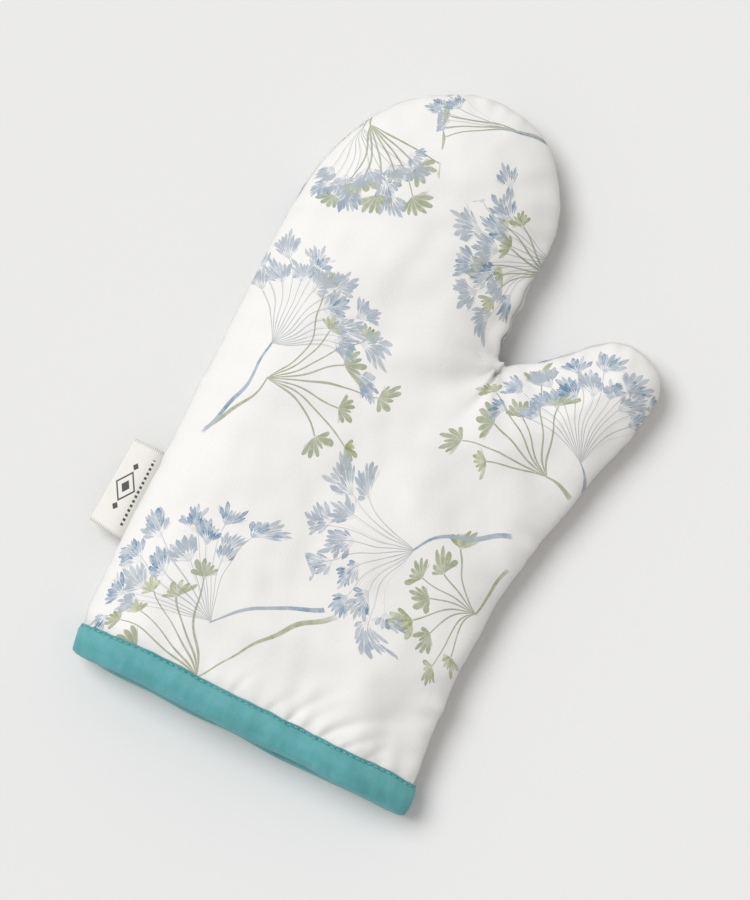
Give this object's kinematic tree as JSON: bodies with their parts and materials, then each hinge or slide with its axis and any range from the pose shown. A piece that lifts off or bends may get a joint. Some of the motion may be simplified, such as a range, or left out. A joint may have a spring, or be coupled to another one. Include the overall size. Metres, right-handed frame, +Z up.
{
  "type": "oven mitt",
  "caption": "Padded mitten for handling hot cookware, with a separate thumb, a wide bound cuff, a soft lining and a folded side label.",
  "frame": {"origin": "centre of the bounding box's bottom face, on the surface that the mitt lies on", "axes": "+Y from the cuff to the finger tips, +X towards the thumb, +Z up out of the front wall"},
  "size_m": [0.1973, 0.2996, 0.028],
  "materials": {
    "printed_cotton": "matt warm white cotton with a pale blue and green watercolour print of seed heads",
    "wadding": "matt fibre wadding",
    "lining_cotton": "matt plain cotton",
    "binding_tape": "matt teal cotton tape",
    "binding_thread": "satin teal thread",
    "seam_thread": "satin off-white thread",
    "label_satin": "satin woven ribbon"
  },
  "bodies": {
    "hand": {"front_cover_hand": "printed_cotton", "front_wadding_hand": "wadding", "front_lining_hand": "lining_cotton", "back_cover_hand": "printed_cotton", "back_wadding_hand": "wadding", "back_lining_hand": "lining_cotton", "seam_stitches_hand": "seam_thread", "cuff_binding": "binding_tape", "binding_stitches": "binding_thread", "label_tail": "label_satin"},
    "fingers": {"front_cover_fingers": "printed_cotton", "front_wadding_fingers": "wadding", "front_lining_fingers": "lining_cotton", "back_cover_fingers": "printed_cotton", "back_wadding_fingers": "wadding", "back_lining_fingers": "lining_cotton", "seam_stitches_fingers": "seam_thread"},
    "thumb": {"front_cover_thumb": "printed_cotton", "front_wadding_thumb": "wadding", "front_lining_thumb": "lining_cotton", "back_cover_thumb": "printed_cotton", "back_wadding_thumb": "wadding", "back_lining_thumb": "lining_cotton", "seam_stitches_thumb": "seam_thread"},
    "label": {"label_flap": "label_satin"}
  },
  "joints": [
    {"name": "finger_fold", "type": "hinge", "parent": "hand", "child": "fingers", "pos_m": [-0.028, 0.054, 0.012], "axis": [1, 0, 0], "range_deg": [0, 70], "stiffness_Nm_per_rad": 0.03},
    {"name": "thumb_fold", "type": "hinge", "parent": "hand", "child": "thumb", "pos_m": [0.05745, 0.01986, 0.012], "axis": [0.7394, -0.6733, 0], "range_deg": [0, 60], "stiffness_Nm_per_rad": 0.01},
    {"name": "label_flip", "type": "hinge", "parent": "hand", "child": "label", "pos_m": [-0.08465, -0.076, 0.012], "axis": [0, 1, 0], "range_deg": [-45, 75], "stiffness_Nm_per_rad": 0.001}
  ]
}
